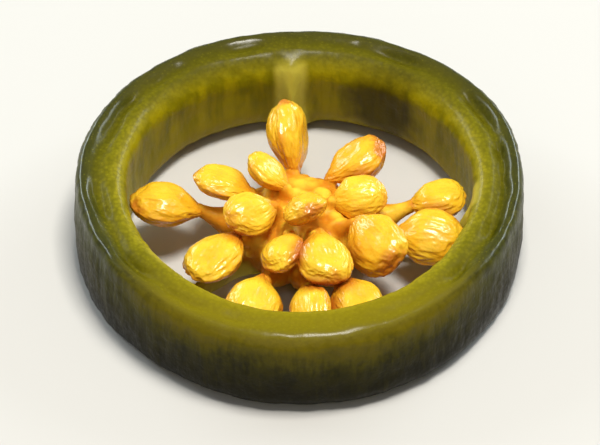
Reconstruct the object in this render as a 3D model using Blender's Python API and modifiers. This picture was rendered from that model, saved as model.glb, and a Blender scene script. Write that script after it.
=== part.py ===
"""A slice of green chilli pepper, lying on its lower cut face: the grown ring with its ribs and core, and the seeds."""

import math

import bmesh
import bpy
from mathutils import Euler, Matrix, Vector

MM = 0.001

# The ring is one short length of the pepper's wall.
SLICE_DIAMETER = 29.0 * MM
SLICE_THICKNESS = 6.6 * MM
WALL = 3.2 * MM
OUTER_EDGE_ROUND = 1.1 * MM
INNER_EDGE_ROUND = 1.3 * MM
LOBE_SHARE = 0.012  # how far the three lobes swell and sink, as a share of the radius
LOBE_TURN = math.radians(34)
RING_STEPS = 72
ROUND_STEPS = 4

# The core in the middle carries the seeds.
CORE_RADIUS = 3.3 * MM
CORE_FOOT = 0.4 * MM
CORE_TOP = 4.1 * MM

# Three ribs hold the core in the ring. A rib stands high at the wall and runs low to the core.
RIB_TURNS = (93, 216, 356)
RIB_THICKNESS = 1.2 * MM
RIB_FOOT = 0.6 * MM
RIB_CREST = 5.8 * MM
RIB_SADDLE = 2.3 * MM

# Each seed is an egg that hangs by its narrow end on a short stalk of the core.
SEED_LENGTH = 4.7 * MM
SEED_WIDTH = 3.3 * MM
SEED_THICKNESS = 2.2 * MM
SEED_NECK = 0.22  # how much slimmer the stalk end is, as a share of the middle
STALK_ROOT_HEIGHT = 1.5 * MM
STALK_ROOT_RADIUS = 0.9 * MM
STALK_TIP_RADIUS = 0.32 * MM
GAP = 0.3 * MM

# Each seed: its turn round the core, how far out and how high its middle is in millimetres, how much its outer
# end is lifted, how far it swings off the spoke, how far it is rolled about its length, and its size. Turns,
# lifts, swings and rolls are in degrees.
SEEDS = (
    # round the outside
    (175, 8.7, 3.6, 8, 0, 10, 0.97),
    (7, 9.0, 3.6, 10, 0, 0, 0.8),
    (345, 8.65, 3.6, 0, 5, 30, 0.95),
    (294, 8.9, 3.6, -8, 0, 0, 0.88),
    (274, 8.9, 3.6, -8, 0, 50, 0.88),
    (251, 8.7, 3.6, -5, 0, -15, 0.92),
    (219, 7.0, 4.0, -5, 12, 15, 0.98),
    # between these and the core
    (98, 5.5, 5.0, 28, 0, 70, 1.05),
    (162, 5.1, 4.7, 12, 0, 20, 0.85),
    (43, 4.9, 4.8, 15, -10, -20, 0.92),
    (320, 6.25, 4.8, -4, -14, 40, 1.0),
    (285, 5.9, 5.2, -6, 0, 0, 0.9),
    (257, 5.0, 5.0, 5, 0, 30, 0.75),
    # on top of the core
    (0, 3.7, 5.0, 12, 0, 30, 0.76),
    (212, 3.7, 5.5, 8, 0, -20, 0.78),
    (278, 2.2, 6.2, 30, 0, 20, 0.74),
    (140, 2.6, 5.5, 20, 0, 30, 0.7),
)


def clear_scene():
    for obj in list(bpy.data.objects):
        bpy.data.objects.remove(obj)


def new_collection(name):
    collection = bpy.data.collections.new(name)
    bpy.context.scene.collection.children.link(collection)
    return collection


def new_material(name, colour, roughness):
    material = bpy.data.materials.new(name)
    material.use_nodes = True
    shader = material.node_tree.nodes["Principled BSDF"]
    shader.inputs["Base Color"].default_value = (*colour, 1)
    shader.inputs["Roughness"].default_value = roughness
    shader.inputs["Metallic"].default_value = 0
    return material


def new_object(name, mesh, collection):
    obj = bpy.data.objects.new(name, mesh)
    collection.objects.link(obj)
    return obj


def turned(profile, closed, steps):
    """The mesh of a profile in XZ, turned about Z. It runs down its outer side."""
    mesh = bpy.data.meshes.new("profile")
    edges = [(i, i + 1) for i in range(len(profile) - 1)]
    if closed:
        edges.append((len(profile) - 1, 0))
    mesh.from_pydata([(x, 0, z) for x, z in profile], edges, [])
    obj = new_object("profile", mesh, bpy.context.scene.collection)
    screw = obj.modifiers.new("turn", "SCREW")
    screw.steps = screw.render_steps = steps
    screw.use_merge_vertices = True
    screw.merge_threshold = 0.01 * MM
    graph = bpy.context.evaluated_depsgraph_get()
    result = bpy.data.meshes.new_from_object(obj.evaluated_get(graph))
    bpy.data.objects.remove(obj)
    return result


def arc(centre, radius, start, end, steps):
    """Points of an arc in XZ, from one angle to another in degrees."""
    angles = [math.radians(start + (end - start) * i / steps) for i in range(steps + 1)]
    return [(centre[0] + radius * math.cos(a), centre[1] + radius * math.sin(a)) for a in angles]


def wall_section():
    """The wall's section: flat cut faces, a snug outer edge and a softer inner one."""
    outer = SLICE_DIAMETER / 2
    inner = outer - WALL
    top = SLICE_THICKNESS
    a, b = OUTER_EDGE_ROUND, INNER_EDGE_ROUND
    return (
        arc((outer - a, top - a), a, 90, 0, ROUND_STEPS)
        + arc((outer - a, a), a, 0, -90, ROUND_STEPS)
        + arc((inner + b, b), b, -90, -180, ROUND_STEPS)
        + arc((inner + b, top - b), b, 180, 90, ROUND_STEPS)
    )


def lobed(mesh):
    """Swells the ring into three soft lobes, and brings it back over the origin."""
    for vertex in mesh.vertices:
        turn = math.atan2(vertex.co.y, vertex.co.x)
        share = 1 + LOBE_SHARE * math.cos(3 * (turn - LOBE_TURN))
        vertex.co.x *= share
        vertex.co.y *= share
    for axis in (0, 1):
        places = [vertex.co[axis] for vertex in mesh.vertices]
        middle = (min(places) + max(places)) / 2
        for vertex in mesh.vertices:
            vertex.co[axis] -= middle
    return mesh


def core_knob():
    """The core: a low turned knob with a domed top."""
    shoulder = CORE_TOP - 0.55 * CORE_RADIUS
    dome = [
        (CORE_RADIUS * math.sin(math.radians(a)), shoulder + (CORE_TOP - shoulder) * math.cos(math.radians(a)))
        for a in range(0, 91, 18)
    ]
    return turned(dome + [(0.85 * CORE_RADIUS, CORE_FOOT), (0, CORE_FOOT)], False, 24)


def rib(turn):
    """One rib: a flat outline in the upright plane, extruded to its thickness and turned to its place."""
    wall_middle = (SLICE_DIAMETER - WALL) / 2
    wall_face = SLICE_DIAMETER / 2 - WALL
    outline = [
        (0, RIB_FOOT),
        (wall_middle, RIB_FOOT),
        (wall_middle, RIB_CREST),
        (wall_face - 0.4 * MM, RIB_CREST - 0.5 * MM),
        (wall_face - 1.1 * MM, RIB_SADDLE + 0.7 * MM),
        (wall_face - 2.4 * MM, RIB_SADDLE),
        (0, RIB_SADDLE),
    ]
    curve = bpy.data.curves.new("rib", "CURVE")
    curve.dimensions = "2D"
    curve.fill_mode = "BOTH"
    curve.extrude = RIB_THICKNESS / 2
    spline = curve.splines.new("POLY")
    spline.points.add(len(outline) - 1)
    for point, (x, z) in zip(spline.points, outline):
        point.co = (x, z, 0, 1)
    spline.use_cyclic_u = True
    obj = new_object("rib_outline", curve, bpy.context.scene.collection)
    graph = bpy.context.evaluated_depsgraph_get()
    mesh = bpy.data.meshes.new_from_object(obj.evaluated_get(graph))
    bpy.data.objects.remove(obj)
    upright = Euler((math.pi / 2, 0, math.radians(turn))).to_matrix().to_4x4()
    shape = bmesh.new()
    shape.from_mesh(mesh)
    bmesh.ops.remove_doubles(shape, verts=shape.verts, dist=0.001 * MM)
    bmesh.ops.transform(shape, matrix=upright, verts=shape.verts)
    bmesh.ops.recalc_face_normals(shape, faces=shape.faces)
    shape.to_mesh(mesh)
    shape.free()
    return mesh


def seed_mesh():
    """An egg along X, with its stalk end at -X slimmer. The seeds share it."""
    shape = bmesh.new()
    bmesh.ops.create_uvsphere(shape, u_segments=16, v_segments=10, radius=0.5)
    bmesh.ops.rotate(shape, verts=shape.verts, cent=(0, 0, 0), matrix=Matrix.Rotation(math.pi / 2, 3, "Y"))
    for vertex in shape.verts:
        slim = 1 + SEED_NECK * 2 * vertex.co.x
        vertex.co.x *= SEED_LENGTH
        vertex.co.y *= SEED_WIDTH * slim
        vertex.co.z *= SEED_THICKNESS * slim
    mesh = bpy.data.meshes.new("seed")
    shape.to_mesh(mesh)
    shape.free()
    mesh.shade_smooth()
    return mesh


def seed_places():
    """The place and turn of every seed: (middle, rotation, size)."""
    places = []
    for turn, reach, height, lift, swing, roll, size in SEEDS:
        angle = math.radians(turn)
        middle = MM * Vector((reach * math.cos(angle), reach * math.sin(angle), height))
        rotation = Euler((math.radians(roll), -math.radians(lift), math.radians(turn + swing)))
        places.append((middle, rotation, size))
    return places


def stalk(middle, rotation, size):
    """The stalk that runs from the core to just short of a seed's narrow end."""
    root = Vector((0, 0, STALK_ROOT_HEIGHT))
    tip = middle - rotation.to_matrix() @ Vector((size * SEED_LENGTH / 2 + GAP, 0, 0))
    along = tip - root
    shape = bmesh.new()
    bmesh.ops.create_cone(
        shape,
        cap_ends=True,
        segments=10,
        radius1=STALK_ROOT_RADIUS,
        radius2=STALK_TIP_RADIUS * size**2,
        depth=along.length,
        matrix=Matrix.Translation((root + tip) / 2) @ along.to_track_quat("Z", "Y").to_matrix().to_4x4(),
    )
    mesh = bpy.data.meshes.new("stalk")
    shape.to_mesh(mesh)
    shape.free()
    return mesh


def main():
    clear_scene()
    pepper = new_collection("chilli_pepper_slice")
    grown_on = new_collection("grown_on")
    flesh = new_material("flesh", (0.17, 0.19, 0.02), 0.35)
    seed_coat = new_material("seed_coat", (0.85, 0.52, 0.08), 0.4)

    ring = new_object("pepper_ring", lobed(turned(wall_section(), True, RING_STEPS)), pepper)
    ring.data.materials.append(flesh)

    meshes = {"core": core_knob()}
    meshes.update({f"rib_{turn}": rib(turn) for turn in RIB_TURNS})
    places = seed_places()
    meshes.update({f"stalk_{n}": stalk(*place) for n, place in enumerate(places, 1)})
    for name, mesh in meshes.items():
        helper = new_object(name, mesh, grown_on)
        helper.hide_render = True
        helper.display_type = "WIRE"

    union = ring.modifiers.new("grown_together", "BOOLEAN")
    union.operation = "UNION"
    union.operand_type = "COLLECTION"
    union.collection = grown_on

    seed = seed_mesh()
    seed.materials.append(seed_coat)
    for n, (middle, rotation, size) in enumerate(places, 1):
        obj = new_object(f"seed_{n:02d}", seed, pepper)
        obj.location = middle
        obj.rotation_euler = rotation
        obj.scale = (size, size, size)


main()
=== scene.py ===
# %% [markdown]
# # A slice of green chilli pepper
#
# The object is one ring cut across a green chilli and then baked. Its wall has a glossy dark skin outside
# and moist olive flesh inside. Thin ribs run inwards from the wall and carry a golden core, and plump
# seeds sit round the core on short stalks. The imported model gives every size and place. The first cell
# loads it, and keeps its box.

# %% Load the frame
import math

import bmesh
import bpy
import numpy as np
from mathutils import Matrix, Vector, noise
from mathutils.kdtree import KDTree


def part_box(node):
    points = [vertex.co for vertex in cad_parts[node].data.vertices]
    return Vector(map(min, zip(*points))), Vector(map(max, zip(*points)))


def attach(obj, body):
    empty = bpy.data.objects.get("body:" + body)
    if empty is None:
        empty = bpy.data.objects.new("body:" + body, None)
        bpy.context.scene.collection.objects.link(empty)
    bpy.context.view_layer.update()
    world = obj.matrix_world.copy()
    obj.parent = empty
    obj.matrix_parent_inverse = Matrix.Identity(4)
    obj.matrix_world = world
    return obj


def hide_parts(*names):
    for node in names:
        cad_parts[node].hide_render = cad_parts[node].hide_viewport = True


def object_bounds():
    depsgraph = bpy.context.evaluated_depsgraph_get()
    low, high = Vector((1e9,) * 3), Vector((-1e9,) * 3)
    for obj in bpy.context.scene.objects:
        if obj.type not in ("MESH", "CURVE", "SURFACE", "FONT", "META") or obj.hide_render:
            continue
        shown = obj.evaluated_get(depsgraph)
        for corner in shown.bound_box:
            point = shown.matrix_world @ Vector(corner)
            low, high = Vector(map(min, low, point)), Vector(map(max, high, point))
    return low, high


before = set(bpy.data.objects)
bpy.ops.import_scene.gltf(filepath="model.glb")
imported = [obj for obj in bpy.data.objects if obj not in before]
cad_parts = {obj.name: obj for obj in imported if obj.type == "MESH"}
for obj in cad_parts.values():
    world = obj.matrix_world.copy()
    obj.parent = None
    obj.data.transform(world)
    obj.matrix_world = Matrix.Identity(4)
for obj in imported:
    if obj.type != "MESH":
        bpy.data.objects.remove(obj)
cad_low, cad_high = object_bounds()
MM = 0.001
ring_low, ring_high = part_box("pepper_ring")
ring_radius = (ring_high.x - ring_low.x) / 2 / MM
ring_thickness = (ring_high.z - ring_low.z) / MM
seed_nodes = sorted(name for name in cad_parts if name.startswith("seed_"))
print(f"ring {2 * ring_radius:.1f} mm across and {ring_thickness:.1f} mm thick, {len(seed_nodes)} seeds")

# %% [markdown]
# ## Camera
#
# A small thing on a table is seen from above, at about 45 degrees. A long lens from some way off keeps
# the far and the near rim nearly the same size, so the ring's outline reads as it really is. The camera
# could track the slice with a constraint, but one sum for its place and one for its tilt are plainer.

# %% Camera
VIEW_RISE = math.radians(45)
VIEW_DISTANCE = 420 * MM
VIEW_WIDTH = 39.5 * MM
SENSOR_WIDTH = 36.0
AIM_SHARE = 0.36  # how far up the slice the camera aims

middle = Vector((0, 0, AIM_SHARE * cad_high.z))
camera_data = bpy.data.cameras.new("camera")
camera_data.sensor_width = SENSOR_WIDTH
camera_data.lens = SENSOR_WIDTH * VIEW_DISTANCE / VIEW_WIDTH
camera_data.clip_start = 0.01
camera_data.clip_end = 10
camera = bpy.data.objects.new("camera", camera_data)
bpy.context.scene.collection.objects.link(camera)
camera.location = middle + VIEW_DISTANCE * Vector((0, -math.cos(VIEW_RISE), math.sin(VIEW_RISE)))
camera.rotation_euler = (math.pi / 2 - VIEW_RISE, 0, 0)
bpy.context.scene.camera = camera
print(f"camera {VIEW_DISTANCE / MM:.0f} mm away, lens {camera_data.lens:.0f} mm")

# %% [markdown]
# ## Nodes as sums
#
# Both the shape of the ring and the finish of its skin are sums over positions. Blender works such sums
# out with Math nodes, and wiring them by hand is long to read. `Wire` holds one output socket and
# overloads the operators, so `1 - mask` adds the node that works it out. `Tree` adds any other node from
# its type, its settings and its inputs.

# %% Wires
class Wire:
    """An output socket. Sums written with it add the Math nodes that work them out."""

    def __init__(self, tree, socket):
        self.tree = tree
        self.socket = socket

    def __getitem__(self, name):
        """Another output of the same node."""
        return Wire(self.tree, self.socket.node.outputs[name])

    def __add__(self, other):
        return self.tree.maths("ADD", self, other)

    def __radd__(self, other):
        return self.tree.maths("ADD", other, self)

    def __sub__(self, other):
        return self.tree.maths("SUBTRACT", self, other)

    def __rsub__(self, other):
        return self.tree.maths("SUBTRACT", other, self)

    def __mul__(self, other):
        return self.tree.maths("MULTIPLY", self, other)

    def __rmul__(self, other):
        return self.tree.maths("MULTIPLY", other, self)

    def __truediv__(self, other):
        return self.tree.maths("DIVIDE", self, other)

    def __neg__(self):
        return self.tree.maths("MULTIPLY", self, -1.0)

    def __abs__(self):
        return self.tree.maths("ABSOLUTE", self)


print("wires are ready")


# %% Trees
class Tree:
    """A node tree, for a shape or for a finish."""

    def __init__(self, node_tree):
        self.tree = node_tree

    def node(self, kind, settings=None, inputs=None, output=0):
        """Adds a node: its settings first, then a value or a wire for each input, by name or by number."""
        made = self.tree.nodes.new(kind)
        for name, value in (settings or {}).items():
            if name == "stops":
                self.set_stops(made.color_ramp, value)
            else:
                setattr(made, name, value)
        for place, value in (inputs or {}).items():
            if isinstance(value, Wire):
                self.tree.links.new(value.socket, made.inputs[place])
            else:
                made.inputs[place].default_value = value
        return Wire(self, made.outputs[output]) if len(made.outputs) else made

    def set_stops(self, ramp, stops):
        """Gives a colour ramp its stops, each (position, colour)."""
        while len(ramp.elements) < len(stops):
            ramp.elements.new(1.0)
        for element, (position, colour) in zip(ramp.elements, stops):
            element.position = position
            element.color = colour

    def maths(self, operation, *values):
        """A Math node."""
        return self.node("ShaderNodeMath", {"operation": operation}, dict(enumerate(values)))

    def vector(self, operation, *values, output=0):
        """A Vector Math node."""
        return self.node("ShaderNodeVectorMath", {"operation": operation}, dict(enumerate(values)), output)

    def smaller(self, *values, blend=0.0):
        """The smallest of several values. With a blend, neighbours melt together over that distance."""
        return self.pick("SMOOTH_MIN" if blend else "MINIMUM", values, blend)

    def larger(self, *values, blend=0.0):
        """The largest of several values, with the same blend."""
        return self.pick("SMOOTH_MAX" if blend else "MAXIMUM", values, blend)

    def pick(self, operation, values, blend):
        """Chains one Math node after another over all the values."""
        result = values[0]
        for value in values[1:]:
            result = self.maths(operation, result, value, *([blend] if blend else []))
        return result

    def ease(self, value, start, end, low=0.0, high=1.0):
        """Goes smoothly from low to high while the value goes from start to end."""
        if start > end:
            start, end, low, high = end, start, high, low
        return self.node(
            "ShaderNodeMapRange",
            {"interpolation_type": "SMOOTHSTEP"},
            {0: value, 1: start, 2: end, 3: low, 4: high},
        )

    def hump(self, value, centre, width):
        """1 at the centre, falling smoothly to nothing at about twice the width on either side."""
        away = (value - centre) / width
        return self.maths("EXPONENT", -(away * away))

    def apart(self, vector):
        """The three parts of a vector."""
        parts = self.node("ShaderNodeSeparateXYZ", inputs={0: vector})
        return parts["X"], parts["Y"], parts["Z"]

    def together(self, x, y, z):
        """A vector from its three parts."""
        return self.node("ShaderNodeCombineXYZ", inputs={0: x, 1: y, 2: z})

    def noise(self, place, scale, detail=2.0, roughness=0.5):
        """Soft cloudy noise, from 0 to 1."""
        return self.node(
            "ShaderNodeTexNoise",
            inputs={"Vector": place, "Scale": scale, "Detail": detail, "Roughness": roughness},
        )["Fac"]


print("trees are ready")

# %% [markdown]
# ## The ring as a distance field
#
# A grown wall, its ribs, the core and the stalks have no seams: each runs into the next with a soft
# fillet. Boolean joins leave hard creases there. So the ring is made as a distance field: for any point
# in space, a sum says how far it is from the surface of each organ, and a smooth minimum melts the organs
# together. Geometry Nodes evaluate the sum in a block of small cells and wrap a mesh round the cells
# inside. All sizes in this tree are in millimetres, and a node near its end brings the mesh to metres.
#
# Most organs are rounded blocks in some section: so far beside a middle line, and so far above it. One
# helper gives the distance to such a block.

# %% A rounded block's distance
def rounded(tree, beside, above, rounding):
    """How far a point is from a block with round corners, given how far it is past its side and its top."""
    beside = beside + rounding
    above = above + rounding
    corner_x = tree.larger(beside, 0.0)
    corner_z = tree.larger(above, 0.0)
    corner = tree.maths("SQRT", corner_x * corner_x + corner_z * corner_z)
    return corner + tree.smaller(tree.larger(beside, above), 0.0) - rounding


print("a rounded block takes twelve Math nodes")

# %% [markdown]
# ## The wall
#
# The wall follows a rule that is easy to write round a circle: three soft lobes, a rounded section, a
# thin raised edge of skin, a shallow groove where the flesh has shrunk behind it, and a lower inner lip.
# The oven made it uneven: the near edge is softer, the far inner edge has curled in, and the groove comes
# and goes with a slow noise.

# %% Sizes of the wall, in millimetres
WALL = 3.2
LOBE_SHARE = 0.012
LOBE_TURN = math.radians(34)
SKIN_EDGE_ROUND = 0.55
NEAR_EDGE_ROUND = 1.3
INNER_EDGE_ROUND = 1.1
FAR_INNER_ROUND = 1.9
GROOVE_DEPTH = 0.6
LIP_DROP = 0.22  # how much lower the inner lip lies than the skin's edge
FACE_SPARE = 0.03  # puts back what the noise takes off the cut faces
BELLY = 0.2  # how much the wall bulges out at mid height
WOBBLE = 0.45  # how far the outline strays from its lobes
UNEVENNESS = 0.22
OUTLINE_POINTS = 720


def lobe_middle():
    """How far the middle of the lobed outline lies from the middle of its circle, in x and y."""
    turns = np.linspace(0, 2 * math.pi, OUTLINE_POINTS, endpoint=False)
    reach = ring_radius * (1 + LOBE_SHARE * np.cos(3 * (turns - LOBE_TURN)))
    x, y = reach * np.cos(turns), reach * np.sin(turns)
    return (x.min() + x.max()) / 2, (y.min() + y.max()) / 2


middle_x, middle_y = lobe_middle()
print(f"lobed outline, middle moved by {middle_x:.2f} and {middle_y:.2f} mm")


# %% [markdown]
# In the field, `outward` is how far a point lies outside the wall's middle line, and `upright` is how far
# it lies above or below mid height. The groove and the lower lip only change `upright`, so one rounded
# block does it all.

# %% The wall's field
def wall_fields(tree, given, place, x, y, z):
    """How far a point is from the wall, and how deep it lies below the skin."""
    x, y = x + middle_x, y + middle_y
    turn = tree.maths("ARCTAN2", y, x)
    reach = tree.maths("SQRT", x * x + y * y)
    swell = 1 + given["Lobe share"] * tree.maths("COSINE", 3 * (turn - LOBE_TURN))
    wobble = WOBBLE * (tree.noise(place, 0.11, detail=1.0) - 0.5)
    unevenness = UNEVENNESS * (tree.noise(place, 0.5) - 0.5)
    half_thickness = given["Thickness"] / 2
    level = (z - half_thickness) / half_thickness
    outward = reach / swell - (given["Radius"] - given["Wall"] / 2) + wobble + unevenness
    outward = outward - BELLY * (1 - level * level)
    half_wall = given["Wall"] / 2 + BELLY / 2

    sideways = abs(x) / reach
    patchy = tree.ease(tree.noise(place, 0.28, detail=1.0), 0.3, 0.65, 0.35, 1.25)
    groove = given["Groove depth"] * (0.25 + 0.9 * sideways) * patchy * tree.hump(outward, 0.35, 0.5)
    upright = abs(z - half_thickness) + groove + tree.ease(outward, 0.5, -1.4, 0.0, LIP_DROP)

    near = tree.ease(-y / reach, 0.3, 0.95)
    far = tree.ease(y / reach, 0.2, 0.9)
    skin_round = SKIN_EDGE_ROUND + (NEAR_EDGE_ROUND - SKIN_EDGE_ROUND) * near
    inner_round = INNER_EDGE_ROUND + (FAR_INNER_ROUND - INNER_EDGE_ROUND) * far
    rounding = inner_round + (skin_round - inner_round) * tree.ease(outward, -0.5, 0.5)
    gap = rounded(tree, abs(outward) - half_wall, upright - half_thickness - FACE_SPARE, rounding)
    return {"wall_gap": gap, "below_skin": half_wall - outward}


print(f"wall {WALL} mm thick, groove up to {1.15 * 1.25 * GROOVE_DEPTH:.1f} mm deep")

# %% [markdown]
# ## The ribs
#
# Ribs are the thin sheets that part a chilli's chambers. Each stands high where it leaves the wall and
# runs low to the core. In the field a rib is where five limits hold at once: near its middle plane, under
# its crest, over its foot, and between the core and the wall. The middle plane drifts with a slow noise,
# so no rib is straight, and the sheet gets slimmer towards its crest.

# %% The ribs' field
RIBS = ((93, 6.0), (216, 4.3), (356, 4.9))  # each rib's turn in degrees, and how high it stands at the wall
RIB_HALF = 0.45
RIB_FLARE = 0.9  # how much thicker each half gets at the wall
RIB_ROOT = 0.7  # how much thicker each half gets at the core
RIB_CREST_SHARE = 0.35  # how thick the crest is, as a share of the sheet
RIB_SADDLE = 2.2
RIB_FOOT = 0.6
RIB_START = 0.5
RIB_END = 12.9
RIB_DRIFT = 0.9
RIB_BLEND = 0.9


def rib_fields(tree, place, x, y, z):
    """How far a point is from the nearest rib, and how far to the side of its middle plane."""
    drift = RIB_DRIFT * (tree.noise(place, 0.22, detail=1.0) - 0.5)
    ribs = []
    sides = []
    for turn, crest_height in RIBS:
        cosine, sine = math.cos(math.radians(turn)), math.sin(math.radians(turn))
        along = x * cosine + y * sine
        across = abs(y * cosine - x * sine + drift)
        flare = tree.ease(along, 9.6, 12.0)
        crest = tree.ease(along, 9.4, 11.5, RIB_SADDLE, crest_height)
        slim = tree.ease(z - crest, -2.6, 0.3, 1.0, RIB_CREST_SHARE)
        half = (RIB_HALF + RIB_FLARE * flare * flare + RIB_ROOT * tree.ease(along, 5.2, 3.2)) * slim
        limits = (across - half, z - crest, RIB_FOOT - z, RIB_START - along, along - RIB_END)
        ribs.append(tree.larger(*limits, blend=RIB_BLEND))
        sides.append(across + 20 * tree.ease(along, 1.0, 0.0))
    return tree.smaller(*ribs, blend=0.3), tree.smaller(*sides)


print(f"{len(RIBS)} ribs, {2 * RIB_HALF} mm thick")

# %% [markdown]
# ## The core
#
# The core is the soft pale tissue that the seeds grow on. Baked, it is a low golden dome covered in small
# buds, which are seeds that never grew. A Voronoi texture gives the distance to the nearest of many
# scattered points, and that is just what a cluster of buds needs: two sizes of it are added to the dome's
# distance.

# %% The core's field
CORE_RADIUS = 4.1
CORE_FOOT = 0.4
CORE_TOP = 4.5
CORE_ROUND = 1.5
CORE_SWELL = 0.1
CORE_SWELL_TURN = math.radians(100)
CORE_DOME = 0.045  # how much its top falls away, for each square millimetre of reach
BUDS_PER_MM = 0.62
SMALL_BUDS_PER_MM = 1.25
BUD_HEIGHT = 0.85
SMALL_BUD_HEIGHT = 0.42
BUDS_MIDDLE = 0.62  # how far the buds stand out of the dome on average


def buds(tree, place, scale):
    """How far a place is from the nearest bud's middle: 0 at its top, about 1 in the creases between buds."""
    return tree.node(
        "ShaderNodeTexVoronoi",
        {"feature": "SMOOTH_F1"},
        {"Vector": place, "Scale": scale, "Smoothness": 0.25, "Randomness": 0.95},
    )["Distance"]


def core_field(tree, given, place, x, y, z):
    """How far a point is from the core. The dome swells a little in three directions."""
    reach = tree.maths("SQRT", x * x + y * y)
    turn = tree.maths("ARCTAN2", y, x)
    swell = 1 + CORE_SWELL * tree.maths("COSINE", 3 * (turn - CORE_SWELL_TURN))
    half_height = (CORE_TOP - CORE_FOOT) / 2
    above = abs(z - CORE_FOOT - half_height) + CORE_DOME * reach * reach - half_height
    knob = rounded(tree, reach / swell - given["Core radius"], above, CORE_ROUND)
    large = BUD_HEIGHT * buds(tree, place, BUDS_PER_MM)
    small = SMALL_BUD_HEIGHT * buds(tree, place, SMALL_BUDS_PER_MM)
    return knob + large + small - BUDS_MIDDLE


print(f"core {2 * CORE_RADIUS} mm across, {CORE_TOP} mm high")

# %% [markdown]
# ## Where the seeds sit
#
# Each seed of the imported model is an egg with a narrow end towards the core. Its middle, its axes and its
# half lengths can be read back from its vertices: the long axis is the direction in which they spread
# most. The ring needs the narrow ends, because a stalk runs from the core to each of them.

# %% Read each seed's place
def seed_place(name):
    """The middle, the axes (along, across, up) and the half lengths of a seed, in metres."""
    points = np.unique(np.round([v.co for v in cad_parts[name].data.vertices], 7), axis=0)
    spread = np.cov((points - points.mean(0)).T)
    axes = np.linalg.eigh(spread)[1][:, ::-1].T
    outward = np.array([*points.mean(0)[:2], 0])
    if axes[0] @ outward < 0:
        axes[0] *= -1
    if axes[2][2] < 0:
        axes[2] *= -1
    axes[1] = np.cross(axes[2], axes[0])
    along = points @ axes.T
    low, high = along.min(0), along.max(0)
    return ((low + high) / 2) @ axes, axes, (high - low) / 2


seed_places = {name: seed_place(name) for name in seed_nodes}
print("seeds are", ", ".join(f"{2 * place[2][0] / MM:.1f}" for place in seed_places.values()), "mm long")

# %% [markdown]
# ## The stalks
#
# A stalk is thick where it leaves the core, and sags a little on its way to the seed. Its line is a curve
# through three points, kept as a mesh of bare edges. The tree asks how near a point is to the nearest
# edge, and how near to the nearest tip, so that every stalk gets slimmer towards its own tip. The tips
# carry a mark to tell them apart.

# %% The lines that the stalks grow along
STALK_ROOT = Vector((0, 0, 1.5))
STALK_REACH = 0.86  # how far along the seed's narrow half the stalk ends
STALK_BEND = 0.6  # how far along it a stalk sags most
STALK_SAG = 0.12
STALK_STEPS = 6


def stalk_lines():
    """A mesh of bare edges, in millimetres, from the core to every seed's narrow end. Its tips are marked."""
    shape = bmesh.new()
    tip_mark = shape.verts.layers.float.new("tip")
    for place, axes, half in seed_places.values():
        tip = Vector(place / MM) - STALK_REACH * Vector(axes[0]) * half[0] / MM
        bend = STALK_ROOT.lerp(tip, STALK_BEND)
        bend.z -= STALK_SAG * (tip - STALK_ROOT).length
        points = []
        for step in range(STALK_STEPS + 1):
            t = step / STALK_STEPS
            points.append((1 - t) ** 2 * STALK_ROOT + 2 * t * (1 - t) * bend + t**2 * tip)
        verts = [shape.verts.new(point) for point in points]
        verts[-1][tip_mark] = 1.0
        for a, b in zip(verts, verts[1:]):
            shape.edges.new((a, b))
    mesh = bpy.data.meshes.new("stalk_lines")
    shape.to_mesh(mesh)
    shape.free()
    return mesh


stalk_mesh = stalk_lines()
print(f"{len(stalk_mesh.edges)} edges in the stalks' lines")

# %% [markdown]
# Two Proximity nodes measure the lines: one finds the nearest edge, and one the nearest marked tip. The
# first gives the distance to the stalk's middle, and the second gives its thickness there.

# %% The stalks' field
STALK_ROOT_RADIUS = 1.25
STALK_TIP_RADIUS = 0.42
STALK_TIP_LENGTH = 0.2  # how long the slimmest part at its tip is
STALK_TAPER = 3.6  # how far from its tip a stalk reaches its full thickness


def stalk_field(tree, given):
    """How far a point is from the nearest stalk."""
    near_line = tree.node(
        "GeometryNodeProximity", {"target_element": "EDGES"}, {0: given["Lines"]}, "Distance"
    )
    mark = tree.node("GeometryNodeInputNamedAttribute", {"data_type": "FLOAT"}, {"Name": "tip"})
    tips = tree.node(
        "GeometryNodeSeparateGeometry",
        {"domain": "POINT"},
        {"Geometry": given["Lines"], "Selection": tree.maths("GREATER_THAN", mark, 0.5)},
    )
    near_tip = tree.node("GeometryNodeProximity", {"target_element": "POINTS"}, {0: tips}, "Distance")
    return near_line - tree.ease(near_tip, STALK_TIP_LENGTH, STALK_TAPER, STALK_TIP_RADIUS, STALK_ROOT_RADIUS)


print(f"stalks from {2 * STALK_ROOT_RADIUS} down to {2 * STALK_TIP_RADIUS} mm thick")

# %% [markdown]
# ## Fine relief
#
# Close up, the cut faces show soft cells, the inner wall has upright streaks, and the skin has shrunk
# into shallow wrinkles. These are real shape, so each point of the mesh moves a little along its normal.
# Noise is drawn out along Z for the streaks and the wrinkles. The tree also stores how level the surface
# is there, because the finish tells a cut face from a flank by it.

# %% Relief of the surface
CELL_RELIEF = 0.06
STREAK_RELIEF = 0.16
WRINKLE_RELIEF = 0.24
STREAK_STRETCH = (1.0, 1.0, 0.22)
WRINKLE_STRETCH = (1.0, 1.0, 0.35)


def stretched(tree, place, sizes):
    """A place with each of its parts multiplied, so that a noise on it is drawn out along one axis."""
    return tree.vector("MULTIPLY", place, sizes)


def keep_value(tree, skin, name, value):
    """Stores a value on every point of the mesh, for the finish to read."""
    return tree.node(
        "GeometryNodeStoreNamedAttribute",
        {"data_type": "FLOAT", "domain": "POINT"},
        {"Geometry": skin, "Name": name, "Value": value},
    )


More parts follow.
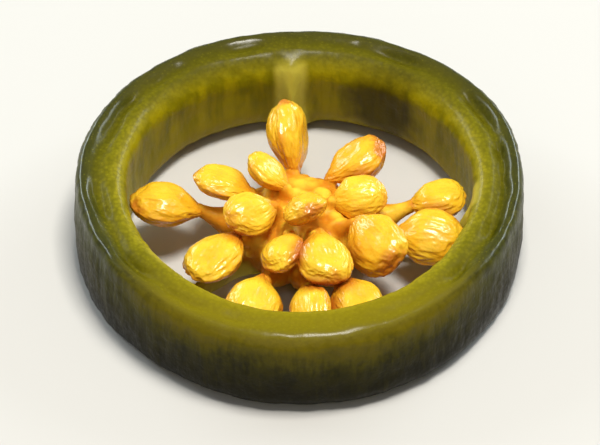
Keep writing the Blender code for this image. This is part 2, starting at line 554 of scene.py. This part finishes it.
def surface_detail(tree, skin, place, depth):
    """Moves every point of the mesh by the relief there, and stores how much it belongs to a cut face."""
    normal = tree.node("GeometryNodeInputNormal")
    cut = tree.ease(abs(tree.apart(normal)[2]), 0.45, 0.85)
    skin = keep_value(tree, skin, "cut_face", cut)
    inside = tree.ease(depth, 2.2, 3.0) * (1 - cut)
    outside = tree.ease(depth, 0.9, 0.4) * (1 - cut)
    cells = CELL_RELIEF * (tree.noise(place, 1.3, detail=3.0) - 0.5)
    streaks = STREAK_RELIEF * inside * (tree.noise(stretched(tree, place, STREAK_STRETCH), 1.6) - 0.5)
    shrunk = tree.noise(stretched(tree, place, WRINKLE_STRETCH), 0.9, detail=3.0)
    wrinkles = WRINKLE_RELIEF * outside * (shrunk - 0.5)
    relief = cells + streaks + wrinkles
    lift = tree.node("ShaderNodeVectorMath", {"operation": "SCALE"}, {0: normal, "Scale": relief})
    return tree.node("GeometryNodeSetPosition", inputs={"Geometry": skin, "Offset": lift})


print(f"relief of up to {(CELL_RELIEF + WRINKLE_RELIEF) / 2:.2f} mm")

# %% [markdown]
# ## The tree that grows the ring
#
# The tree takes the stalks' lines as its geometry and the driving sizes as named inputs. It melts the
# organs together, fills a block of cells with the result and wraps the mesh round it. It also stores how
# deep each point lies below the skin and how far it is from each organ, so that colours follow the organs
# exactly.

# %% Sizes that the tree takes
CELL = 0.17
MARGIN = 1.0  # room between the ring and the sides of the block of cells
RING_SIZES = {
    "Radius": ring_radius,
    "Thickness": ring_thickness,
    "Wall": WALL,
    "Lobe share": LOBE_SHARE,
    "Groove depth": GROOVE_DEPTH,
    "Core radius": CORE_RADIUS,
}
cells_across = int((2 * ring_radius + 2 * MARGIN) / CELL)
cells_up = int((ring_thickness + 2 * MARGIN) / CELL)
print(f"a block of {cells_across} x {cells_across} x {cells_up} cells")

# %% [markdown]
# The organs melt together in steps, the softest joint last, where everything meets the wall. Volume Cube
# samples the field, and Volume to Mesh wraps it: its adaptivity stays off, so that the faces stay even
# and small.

# %% Build the ring's tree
RIB_TO_CORE = 0.7  # over how many millimetres the organs blend
STALK_TO_CORE = 0.5
ALL_TO_WALL = 1.3
KEPT_FIELDS = ("below_skin", "rib_side", "core_gap", "stalk_gap")


def melted(tree, fields):
    """The whole ring's distance: the organs, each melted into the next."""
    inner = tree.smaller(fields["core_gap"], fields["rib_gap"], blend=RIB_TO_CORE)
    inner = tree.smaller(inner, fields["stalk_gap"], blend=STALK_TO_CORE)
    return tree.smaller(fields["wall_gap"], inner, blend=ALL_TO_WALL)


def wrapped(tree, given, surface):
    """A mesh round all the points where the distance is below nothing."""
    edge = given["Radius"] + MARGIN
    block = tree.node(
        "GeometryNodeVolumeCube",
        inputs={
            "Density": -surface,
            "Background": -1.0,
            "Min": tree.together(-edge, -edge, -MARGIN),
            "Max": tree.together(edge, edge, given["Thickness"] + MARGIN),
            "Resolution X": cells_across,
            "Resolution Y": cells_across,
            "Resolution Z": cells_up,
        },
    )
    return tree.node(
        "GeometryNodeVolumeToMesh", {"resolution_mode": "GRID"}, {"Volume": block, "Threshold": 0.0}
    )


def ring_tree(finish):
    """The node group that grows the ring from the stalks' lines, in the given finish."""
    group = bpy.data.node_groups.new("grown_ring", "GeometryNodeTree")
    tree = Tree(group)
    group.interface.new_socket("Lines", in_out="INPUT", socket_type="NodeSocketGeometry")
    for name in RING_SIZES:
        group.interface.new_socket(name, in_out="INPUT", socket_type="NodeSocketFloat")
    group.interface.new_socket("Ring", in_out="OUTPUT", socket_type="NodeSocketGeometry")
    given = tree.node("NodeGroupInput")

    place = tree.node("GeometryNodeInputPosition")
    x, y, z = tree.apart(place)
    fields = wall_fields(tree, given, place, x, y, z)
    fields["rib_gap"], fields["rib_side"] = rib_fields(tree, place, x, y, z)
    fields["core_gap"] = core_field(tree, given, place, x, y, z)
    fields["stalk_gap"] = stalk_field(tree, given)

    skin = wrapped(tree, given, melted(tree, fields))
    for name in KEPT_FIELDS:
        skin = keep_value(tree, skin, name, fields[name])
    skin = surface_detail(tree, skin, place, fields["below_skin"])
    skin = tree.node("GeometryNodeTransform", inputs={"Geometry": skin, "Scale": (MM, MM, MM)})
    skin = tree.node("GeometryNodeSetShadeSmooth", inputs={"Geometry": skin})
    skin = tree.node("GeometryNodeRealizeInstances", inputs={"Geometry": skin})
    skin = tree.node("GeometryNodeSetMaterial", inputs={"Geometry": skin, "Material": finish})
    tree.node("NodeGroupOutput", inputs={"Ring": skin})
    return group


print("the ring's tree takes", ", ".join(RING_SIZES))

# %% [markdown]
# ## Colour
#
# Colours are easier to pick as a painter's card gives them, from 0 to 255, and the shader wants them
# linear. The other helpers make a material with its tree, mix two colours by a share, and read a value
# stored on the mesh.

# %% Colour helpers
def paint(red, green, blue):
    """A colour from 0 to 255 for each part, made linear for the shader."""
    parts = [c / 255 for c in (red, green, blue)]
    return [c / 12.92 if c <= 0.04045 else ((c + 0.055) / 1.055) ** 2.4 for c in parts] + [1.0]


def mixed(tree, share, first, second):
    """One colour turning into another as the share goes from 0 to 1."""
    return tree.node("ShaderNodeMix", {"data_type": "RGBA"}, {0: share, 6: first, 7: second}, output=2)


def new_finish(name):
    """A material with its shader, and the tree to write it in."""
    material = bpy.data.materials.new(name)
    material.use_nodes = True
    shader = material.node_tree.nodes["Principled BSDF"]
    return material, Tree(material.node_tree), shader


def millimetres(tree):
    """The place on the piece, in millimetres."""
    place = tree.node("ShaderNodeTexCoord", output="Object")
    return tree.node("ShaderNodeVectorMath", {"operation": "SCALE"}, {0: place, "Scale": 1 / MM})


def feed(tree, shader, name, value):
    """Links a value or a colour to one of the shader's sockets."""
    tree.tree.links.new(value.socket, shader.inputs[name])


def stored(tree, name):
    """A value stored on the mesh."""
    return tree.node("ShaderNodeAttribute", {"attribute_name": name}, output="Fac")


OLIVE = paint(116, 109, 7)
print("olive as the shader sees it:", [round(part, 3) for part in OLIVE[:3]])

# %% [markdown]
# ## The cut face
#
# The flesh is darkest right under the skin and palest at the inner lip, so a ramp over the depth below
# the skin paints it. A ring of small darker bundles, the veins of the fruit, runs through the middle of
# the flesh. Fine cells, a quarter of a millimetre wide, make it look juicy and not painted.

# %% Colour of the cut face and the inner wall
FACE_STOPS = [
    (0.0, paint(50, 53, 4)),
    (0.16, paint(75, 73, 4)),
    (0.5, paint(103, 97, 5)),
    (0.8, OLIVE),
    (1.0, paint(148, 137, 20)),
]
VEIN_GREEN = paint(80, 80, 6)
CELL_EDGE = paint(58, 56, 3)
CELL_MIDDLE = paint(168, 158, 34)
# Painted shade for the far side of the cut face, and painted light for its near side.
FAR_PAINTED_SHADE = paint(74, 68, 3)
NEAR_PAINTED_LIGHT = paint(134, 119, 6)
WALL_STREAKS = (paint(116, 107, 2), paint(146, 133, 5))
# Painted light that lifts the shade at the foot of the inner wall.
LIT_WALL_FOOT = paint(140, 124, 4)


def flesh_colour(tree, place, depth, cut, cloud, grain, cells):
    """The cut face, turning into the streaky inner wall. Its far side gets painted shade and its near side
    painted light.
    """
    _, y, height = tree.apart(place)
    mottled_depth = depth + 0.9 * (cloud - 0.5) + 0.35 * (grain - 0.5)
    share = tree.ease(mottled_depth, 0.2, 3.1)
    face = tree.node("ShaderNodeValToRGB", {"stops": FACE_STOPS}, {0: share}, output="Color")
    vein = tree.node("ShaderNodeTexVoronoi", inputs={"Vector": place, "Scale": 0.85})["Distance"]
    vein = tree.ease(vein, 0.34, 0.16) * tree.hump(depth, 1.25, 0.3)
    face = mixed(tree, 0.55 * vein, face, VEIN_GREEN)
    face = mixed(tree, 0.3 * tree.ease(cells, 0.35, 0.75), face, CELL_EDGE)
    face = mixed(tree, 0.2 * tree.ease(cells, 0.3, 0.05), face, CELL_MIDDLE)
    # Painted shade darkens the far side of the cut face, and painted light brightens its near side.
    face = mixed(tree, 0.5 * tree.ease(y + 3.0 * (cloud - 0.5), 3.0, 11.0), face, FAR_PAINTED_SHADE)
    face = mixed(tree, 0.6 * tree.ease(y + 3.0 * (cloud - 0.5), -6.0, -11.5), face, NEAR_PAINTED_LIGHT)

    streaks = tree.noise(stretched(tree, place, (1.0, 1.0, 0.2)), 1.1, detail=3.0)
    inner_wall = mixed(tree, tree.ease(streaks, 0.35, 0.65), *WALL_STREAKS)
    # The inner wall turns paler towards its foot: painted light that lifts the shade there.
    inner_wall = mixed(tree, tree.ease(height, 3.4, 0.6), inner_wall, LIT_WALL_FOOT)
    return mixed(tree, tree.ease(depth, 1.6, 2.6) * (1 - cut), face, inner_wall)


print(f"{len(FACE_STOPS)} stops from the skin to the inner lip")

# %% [markdown]
# ## The skin, the ribs and the core
# The skin is a thin dark layer. On a cut face it shows only as a line less than half a millimetre wide,
# and it covers the whole flank. It goes from dark green at its top to nearly black at its foot, partly its
# own colour and partly painted shade, with faint paler streaks and painted shade in its creases. Along the
# near edge its top is olive, partly wear and partly painted light. One spot of the inner wall gets a
# painted shadow. The ribs are pale, and the core is golden with painted shade in the creases between its
# buds. Each of these is a colour and a mask, laid over what is below it. Painting an image would take
# less work, but the masks come from the stored distances, so they always fit.

# %% Colours laid over the flesh
# Skin colours from its foot to its top. The dark foot is partly the skin's own colour and partly painted
# shade.
SKIN_STOPS = [
    (0.06, paint(15, 13, 0)),
    (0.3, paint(30, 26, 1)),
    (0.55, paint(52, 48, 2)),
    (0.8, paint(60, 61, 4)),
]
SKIN_STREAK = paint(110, 100, 12)
# Paler olive for the top of the near flank: partly wear, partly painted light.
WORN_AND_LIT_SKIN = paint(114, 99, 5)
# Painted shade for the skin's creases.
CREASE_SHADE = paint(22, 20, 1)
SHADOW_PLACE = (5.6, 9.8, 3.2)  # where a shadow is painted on the inner wall, in millimetres
# The colour of the painted shadow on the inner wall.
PAINTED_SHADOW = paint(46, 37, 3)
RIB_PALE = paint(184, 170, 62)


def skin_over(tree, colour, place, depth, cut, cloud, grain, creases):
    """Lays the skin over the flank, and its thin line over the cut faces."""
    _, y, height = tree.apart(place)
    level = height / ring_thickness + 0.5 * (cloud - 0.5) + 0.12 * (grain - 0.5)
    # Darker towards the foot: partly the skin's own colour, partly painted shade.
    green = tree.node("ShaderNodeValToRGB", {"stops": SKIN_STOPS}, {0: level}, output="Color")
    streaks = tree.noise(stretched(tree, place, (1.0, 1.0, 0.12)), 1.8, detail=3.0)
    green = mixed(tree, 0.3 * tree.ease(streaks, 0.58, 0.72) * level, green, SKIN_STREAK)
    # The top of the near flank is paler: partly wear and partly painted light.
    worn_and_lit = tree.ease(y, -6.0, -12.5) * tree.ease(height + 3.2 * (cloud - 0.5), 3.4, 6.0)
    green = mixed(tree, 0.75 * worn_and_lit, green, WORN_AND_LIT_SKIN)
    # Painted shade in the skin's creases, the same creases that the bump draws.
    shrunk = tree.ease(creases + 0.2 * (grain - 0.5), 0.58, 0.32) * (1 - 0.75 * worn_and_lit)
    green = mixed(tree, 0.5 * shrunk, green, CREASE_SHADE)
    line = tree.ease(depth + 0.16 * (grain - 0.5) + 0.2 * (cloud - 0.5), 0.5, 0.3)
    flank = tree.ease(depth, 1.5, 1.0) * (1 - cut)
    return mixed(tree, tree.larger(line, flank), colour, green)


def shadow_over(tree, colour, place, cloud):
    """Paints a shadow on the inner wall round one place."""
    away = tree.vector("DISTANCE", place, SHADOW_PLACE, output="Value")
    # A painted shadow on the inner wall round one place.
    return mixed(tree, 0.8 * tree.ease(away + 4.0 * (cloud - 0.5), 3.9, 1.4), colour, PAINTED_SHADOW)


def ribs_over(tree, colour, depth, cut):
    """Makes the ribs pale, from where they leave the wall inwards."""
    rib = tree.ease(stored(tree, "rib_side"), 1.35, 0.75) * tree.ease(depth, 2.4, 3.2) * (1 - 0.6 * cut)
    return mixed(tree, rib, colour, RIB_PALE)


# The spot printed here is the painted shadow.
print("one browned spot, at", SHADOW_PLACE)


# %% Gold for the core and the stalks
BUD_GOLD = paint(246, 200, 58)
# Gold for the buds, and orange painted shade for the creases between them.
BUD_CREASE_SHADE = paint(214, 138, 28)
CORE_FOOT_BROWN = paint(178, 112, 24)


def core_over(tree, colour, place, depth, cloud):
    """Makes the core and the stalks golden, with painted shade in the creases between the buds that shape the
    core.
    """
    near = tree.ease(tree.smaller(stored(tree, "core_gap"), stored(tree, "stalk_gap")), 0.7, 0.1)
    large = 0.6 * buds(tree, place, BUDS_PER_MM)
    small = 0.4 * buds(tree, place, SMALL_BUDS_PER_MM)
    creases = large + small + 0.4 * (cloud - 0.5)
    # Painted shade in the creases between the buds.
    golden = mixed(tree, tree.ease(creases, 0.25, 0.62), BUD_GOLD, BUD_CREASE_SHADE)
    golden = mixed(tree, tree.ease(tree.apart(place)[2], 3.4, 1.0), golden, CORE_FOOT_BROWN)
    return mixed(tree, near * tree.ease(depth, 4.0, 6.0), colour, golden)


print("gold for the core and its", len(seed_nodes), "stalks")

# %% [markdown]
# ## The whole finish of the ring
#
# Oil and juice leave a wet film on the skin's edge, so the coat is strong there, weaker along the near
# edge, and thin elsewhere. The film's roughness is the same all over and is set on the shader itself. A
# little light goes into the flesh and comes out again, warmer: that is the subsurface part.

# %% Pepper flesh
CREASE_STRETCH = (1.0, 1.0, 0.25)
BARE_COAT = 0.05
MOST_COAT = 0.95


def pepper_flesh():
    """The finish of the whole ring."""
    material, tree, shader = new_finish("baked_flesh")
    place = millimetres(tree)
    depth = stored(tree, "below_skin")
    cut = stored(tree, "cut_face")
    cloud = tree.noise(place, 0.4, detail=4.0, roughness=0.6)
    grain = tree.noise(place, 3.2, detail=4.0, roughness=0.6)
    cells = tree.node("ShaderNodeTexVoronoi", inputs={"Vector": place, "Scale": 3.6})["Distance"]
    creases = tree.noise(stretched(tree, place, CREASE_STRETCH), 2.6, detail=3.0)

    colour = flesh_colour(tree, place, depth, cut, cloud, grain, cells)
    colour = skin_over(tree, colour, place, depth, cut, cloud, grain, creases)
    colour = shadow_over(tree, colour, place, cloud)
    colour = ribs_over(tree, colour, depth, cut)
    colour = core_over(tree, colour, place, depth, cloud)
    feed(tree, shader, "Base Color", colour)

    feed(tree, shader, "Roughness", tree.ease(grain, 0.25, 0.75, 0.36, 0.58) + 0.06 * cut)
    _, y, height = tree.apart(place)
    at_edge = tree.ease(abs(height - ring_thickness / 2), 1.5, 2.7)
    film = 0.85 * tree.hump(depth, 0.42, 0.4) * at_edge + 0.12 * tree.hump(depth, 2.6, 0.4) * cut
    film = film * tree.ease(y, -12.0, -5.0, 0.35, 1.0)
    feed(tree, shader, "Coat Weight", tree.smaller(BARE_COAT + film, MOST_COAT))
    relief = grain + 0.4 * tree.noise(place, 8.0) - 0.35 * cells + 2.0 * creases * (1 - cut)
    bump = tree.node("ShaderNodeBump", inputs={"Strength": 0.45, "Distance": 0.07 * MM, "Height": relief})
    feed(tree, shader, "Normal", bump)
    shader.inputs["Specular IOR Level"].default_value = 0.07
    shader.inputs["Coat Roughness"].default_value = 0.2
    shader.inputs["Subsurface Weight"].default_value = 0.2
    shader.inputs["Subsurface Radius"].default_value = (1.0, 0.9, 0.3)
    shader.inputs["Subsurface Scale"].default_value = 0.8 * MM
    return material


flesh = pepper_flesh()
print("pepper flesh has", len(flesh.node_tree.nodes), "nodes")

# %% [markdown]
# ## Grow the ring
#
# The tree runs as a modifier on the stalks' lines. Its sizes are set by their sockets' identifiers before
# it is first evaluated. The result is copied out as a plain mesh with all its stored values, and the
# lines are removed.

# %% Grow the ring
def grown_ring():
    """Runs the tree once, and keeps its result as a plain mesh."""
    lines = bpy.data.objects.new("stalk_lines", stalk_mesh)
    bpy.context.scene.collection.objects.link(lines)
    modifier = lines.modifiers.new("grow", "NODES")
    modifier.node_group = ring_tree(flesh)
    for item in modifier.node_group.interface.items_tree:
        if item.name in RING_SIZES:
            modifier[item.identifier] = RING_SIZES[item.name]
    graph = bpy.context.evaluated_depsgraph_get()
    mesh = bpy.data.meshes.new_from_object(
        lines.evaluated_get(graph), preserve_all_data_layers=True, depsgraph=graph
    )
    mesh.name = "pepper_ring_grown"
    bpy.data.objects.remove(lines)
    ring = bpy.data.objects.new("pepper_ring_grown", mesh)
    bpy.context.scene.collection.objects.link(ring)
    return ring


ring = grown_ring()
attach(ring, "root")
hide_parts("pepper_ring")
print(f"the ring has {len(ring.data.polygons)} faces")

# %% [markdown]
# ## Seed coat
#
# A baked seed is golden and slightly oily. Its underside and the places where it touches its neighbours
# get orange painted shade, its stalk end is orange, and some seeds have a toasted outer end. The seeds'
# meshes carry a value for each of these, and one tone for each seed, so that no two are quite alike.

# %% Colour and relief of the seeds
SEED_GOLD = (paint(249, 205, 50), paint(239, 176, 30))
RIM_OCHRE = paint(224, 148, 34)
# Orange painted shade for the seeds' undersides.
UNDERSIDE_SHADE = paint(212, 128, 22)
STALK_END = paint(212, 134, 30)
# Orange painted shade for where seeds nearly touch.
CREVICE_SHADE_ORANGE = paint(184, 90, 22)
SEED_TOAST = paint(190, 96, 30)


def seed_coat():
    """The finish that all the seeds share."""
    material, tree, shader = new_finish("golden_seed")
    place = millimetres(tree)
    along = stored(tree, "along")
    tone = stored(tree, "tone")
    cloud = tree.noise(place, 0.8, detail=3.0)
    grain = tree.noise(place, 4.0, detail=4.0, roughness=0.6)

    body = mixed(tree, tree.ease(cloud + 0.4 * tone, 0.35, 1.0), *SEED_GOLD)
    body = mixed(tree, 0.8 * stored(tree, "rim") * tree.ease(cloud, 0.3, 0.6), body, RIM_OCHRE)
    # Painted shade on the underside of each seed.
    body = mixed(tree, 0.7 * stored(tree, "under"), body, UNDERSIDE_SHADE)
    stalk_end = tree.ease(along + 0.4 * (cloud - 0.5), -0.5, -0.95)
    body = mixed(tree, 0.7 * stalk_end, body, STALK_END)
    # Painted shade where the seeds nearly touch.
    body = mixed(tree, 0.9 * stored(tree, "crevice"), body, CREVICE_SHADE_ORANGE)
    toasted = tree.ease(along + 0.5 * tone + 1.1 * (cloud - 0.5), 0.95, 1.4)
    body = mixed(tree, 0.75 * toasted, body, SEED_TOAST)
    feed(tree, shader, "Base Color", body)

    feed(tree, shader, "Roughness", tree.ease(grain, 0.25, 0.75, 0.22, 0.44))
    pits = tree.node("ShaderNodeTexVoronoi", inputs={"Vector": place, "Scale": 4.5})["Distance"]
    relief = grain + 0.5 * pits
    bump = tree.node("ShaderNodeBump", inputs={"Strength": 0.35, "Distance": 0.06 * MM, "Height": relief})
    feed(tree, shader, "Normal", bump)
    shader.inputs["Specular IOR Level"].default_value = 0.3
    shader.inputs["Coat Weight"].default_value = 0.45
    shader.inputs["Coat Roughness"].default_value = 0.14
    shader.inputs["Subsurface Weight"].default_value = 0.15
    shader.inputs["Subsurface Radius"].default_value = (1.0, 0.8, 0.3)
    shader.inputs["Subsurface Scale"].default_value = 0.6 * MM
    return material


coat = seed_coat()
print("seed coat has", len(coat.node_tree.nodes), "nodes")

# %% [markdown]
# ## Seed shape
#
# A seed starts as a fine ball, in a space where it is one unit in radius: x runs from the stalk to the
# outer end and z is its thickness. Numpy moves all its points at once. The stalk end is pinched, one face
# gets a dent, a thin rim stands out all round, and folds run lengthwise because the coat has shrunk. Then
# the seed's own axes and half lengths carry it to its place. Each seed draws its numbers from its own
# fixed start of chance. Sculpting each one by hand, or a Displace modifier with textures, would do too,
# but sums on arrays are quick and repeatable.

# %% Helpers for the seeds
BALL_SUBDIVISIONS = 6


def smooth_step(value, start, end):
    """Goes smoothly from 0 to 1 while the value goes from start to end."""
    t = np.clip((value - start) / (end - start), 0, 1)
    return t * t * (3 - 2 * t)


def cloudy(points, scale, shift, octaves=1):
    """Soft noise between about -1 and 1 at each point."""
    return np.array([noise.fractal(Vector(p) * scale + shift, 0.7, 2.0, octaves) for p in points])


ball_mesh = bmesh.new()
bmesh.ops.create_icosphere(ball_mesh, subdivisions=BALL_SUBDIVISIONS, radius=1)
ball = np.array([v.co for v in ball_mesh.verts])
print(f"a seed starts as a ball of {len(ball)} points")


# %% The shape of one seed
FIRST_CHANCE = 400
LENGTHWISE = (0.6, 1.3, 1.3)  # draws the folds out along the seed
RIM_WIDTH = 0.15
RIM_HEIGHT = 0.055


def seed_shape(chance):
    """The ball's points moved into a kernel, and how much each lies on the rim."""
    x, y, z = ball.T
    shift = Vector(chance.uniform(0, 50, 3))
    width = (1 + 0.16 * x) * (1 - 0.42 * smooth_step(x, -0.15, -1.0))
    plump = chance.uniform(0.98, 1.2)
    dent_x, dent_y = chance.uniform(-0.2, 0.45, 2)
    dent = chance.uniform(0.08, 0.24) * np.exp(-((x - dent_x) ** 2 + (y - dent_y) ** 2) / 0.2)
    rim = np.exp(-((z / RIM_WIDTH) ** 2)) * smooth_step(x, -0.9, -0.3)
    shape = np.stack([1.05 * x, 1.13 * y * width, 1.05 * z * width * (1 - dent) * plump], 1)
    shape *= (1 + RIM_HEIGHT * rim)[:, None]
    shape[:, 2] += chance.uniform(-0.14, 0.14) * x**2
    shape[:, 1] += chance.uniform(-0.2, 0.2) * x**2

    lengthwise = ball * LENGTHWISE
    lumps = 0.085 * cloudy(ball, 1.2, shift)
    folds = 0.07 * np.abs(cloudy(lengthwise, 2.1, shift, 2))
    wrinkles = 0.02 * np.abs(cloudy(lengthwise, 5.5, shift, 2))
    pores = 0.008 * cloudy(ball, 9.0, shift, 2)
    shape *= (1.02 + lumps - folds - wrinkles + pores)[:, None]
    return shape, rim


chances = [np.random.default_rng(FIRST_CHANCE + number) for number in range(len(seed_nodes))]
kernels = [seed_shape(chance) for chance in chances]
placed = []
for (kernel, _), (place, axes, half) in zip(kernels, seed_places.values()):
    placed.append((kernel * half) @ axes + place)
print(f"{len(placed)} seeds in place")

# %% [markdown]
# ## Where seeds nearly touch
#
# Where two seeds meet, shade falls, and it is painted there in orange. A k-d tree of the other seeds'
# points finds the nearest of them quickly, and the distance gives each point a share between 0, in the
# open, and 1, where the seeds touch.

# %% Crevices
THINNED = 16  # one in this many points of the other seeds is enough
CREVICE_FROM = 0.1
CREVICE_TO = 1.1


def crevice_share(number):
    """How much painted shade each point of a seed gets where seeds nearly touch, from 0 to 1."""
    others = np.concatenate([points[::THINNED] for n, points in enumerate(placed) if n != number])
    near = KDTree(len(others))
    for index, point in enumerate(others):
        near.insert(point, index)
    near.balance()
    gaps = np.array([near.find(point)[2] for point in placed[number]]) / MM
    return 1 - smooth_step(gaps, CREVICE_FROM, CREVICE_TO)


crevices = [crevice_share(number) for number in range(len(placed))]
print(f"{sum(share.max() > 0.9 for share in crevices)} seeds nearly touch another one")

# %% [markdown]
# ## The seeds' meshes
#
# Each seed takes the ball's faces with its own points. The values that the coat reads are stored point by
# point, and the painted shade on its underside comes from its normals. It rides on the one body, and
# stands for its own seed of the model.

# %% Make the seeds
def grown_seed(name, points, values):
    """The seed's mesh from the ball's faces, with the values that its coat reads."""
    mesh = bpy.data.meshes.new(name + "_grown")
    ball_mesh.to_mesh(mesh)
    mesh.vertices.foreach_set("co", points.astype(np.float32).ravel())
    mesh.update()
    normals = np.zeros(len(points) * 3, np.float32)
    mesh.vertices.foreach_get("normal", normals)
    # Painted shade on the underside, where the normal points down.
    values["under"] = smooth_step(-normals.reshape(-1, 3)[:, 2], -0.75, 0.5)
    for label, value in values.items():
        attribute = mesh.attributes.new(label, "FLOAT", "POINT")
        attribute.data.foreach_set("value", value.astype(np.float32))
    mesh.shade_smooth()
    mesh.materials.append(coat)
    seed = bpy.data.objects.new(name + "_grown", mesh)
    bpy.context.scene.collection.objects.link(seed)
    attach(seed, "root")
    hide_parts(name)
    return seed


seeds = []
for name, points, (_, rim), crevice, chance in zip(seed_nodes, placed, kernels, crevices, chances):
    tone = np.full(len(points), chance.uniform())
    values = {"along": ball[:, 0], "rim": rim, "tone": tone, "crevice": crevice}
    seeds.append(grown_seed(name, points, values))
ball_mesh.free()
print(f"{len(seeds)} seeds of {len(seeds[0].data.polygons)} faces")

# %% [markdown]
# ## Table
#
# A plain pale table carries the slice. It only sets the scene and is no part of the object. One large
# face is enough, because its edges lie far outside the view.

# %% Floor
FLOOR_REACH = 3.0


def plain_floor():
    """One square face, matt and pale."""
    reach = FLOOR_REACH
    corners = [(-reach, -reach, 0), (reach, -reach, 0), (reach, reach, 0), (-reach, reach, 0)]
    mesh = bpy.data.meshes.new("floor")
    mesh.from_pydata(corners, [], [(0, 1, 2, 3)])
    floor = bpy.data.objects.new("floor", mesh)
    bpy.context.scene.collection.objects.link(floor)
    material, _, shader = new_finish("pale_table")
    shader.inputs["Base Color"].default_value = paint(206, 204, 199)
    shader.inputs["Roughness"].default_value = 0.7
    mesh.materials.append(material)


plain_floor()
print(f"floor {2 * FLOOR_REACH:.0f} m across")

# %% [markdown]
# ## Light
#
# One warm lamp high above gives the seeds their bright tops. Two long cool lamps, low behind the slice on
# either side, draw thin streaks along its wet edges, and a weak broad lamp in front opens the shadows. A
# long lamp lies along a slanting line so that its reflection runs along the rim for a good way.

# %% Lamps
WARM = (1.0, 0.97, 0.91)
COOL = (0.84, 0.95, 1.0)
LAMPS = (
    # name, watts, tint, width and length, place, direction of its length; in metres
    ("key", 1.05, WARM, (0.09, 0.09), (0.03, -0.02, 0.31), (1, 0, 0)),
    ("front", 0.08, WARM, (0.24, 0.24), (-0.08, -0.28, 0.20), (1, 0, 0)),
    ("strip_left", 0.36, COOL, (0.05, 0.26), (-0.19, 0.16, 0.12), (-0.11, -0.21, 0.15)),
    ("strip_right", 0.36, COOL, (0.05, 0.26), (0.19, 0.16, 0.12), (0.11, -0.21, 0.15)),
)
WORLD_STRENGTH = 0.2


def lamp_turn(spot, length_direction):
    """Turns a lamp to shine on the slice, with its length along a direction."""
    back = (Vector(spot) - middle).normalized()
    side = Vector(length_direction).cross(back).normalized()
    return Matrix((side, back.cross(side), back)).transposed().to_euler()


for name, watts, tint, size, spot, length_direction in LAMPS:
    lamp = bpy.data.lights.new(name, "AREA")
    lamp.shape = "RECTANGLE"
    lamp.energy = watts
    lamp.size, lamp.size_y = size
    lamp.color = tint
    holder = bpy.data.objects.new(name, lamp)
    holder.location = spot
    holder.rotation_euler = lamp_turn(spot, length_direction)
    bpy.context.scene.collection.objects.link(holder)
print(len(LAMPS), "lamps")

# %% [markdown]
# ## Surroundings
#
# A weak white world fills the shadows, as the walls of a studio do. The Standard view keeps the greens
# and the golds as saturated as they are mixed, where a filmic view would grey them.

# %% White surroundings
world = bpy.data.worlds.new("studio")
world.use_nodes = True
background = world.node_tree.nodes["Background"]
background.inputs["Color"].default_value = (1, 1, 1, 1)
background.inputs["Strength"].default_value = WORLD_STRENGTH
bpy.context.scene.world = world
bpy.context.scene.view_settings.view_transform = "Standard"
print(f"surroundings at {WORLD_STRENGTH}")
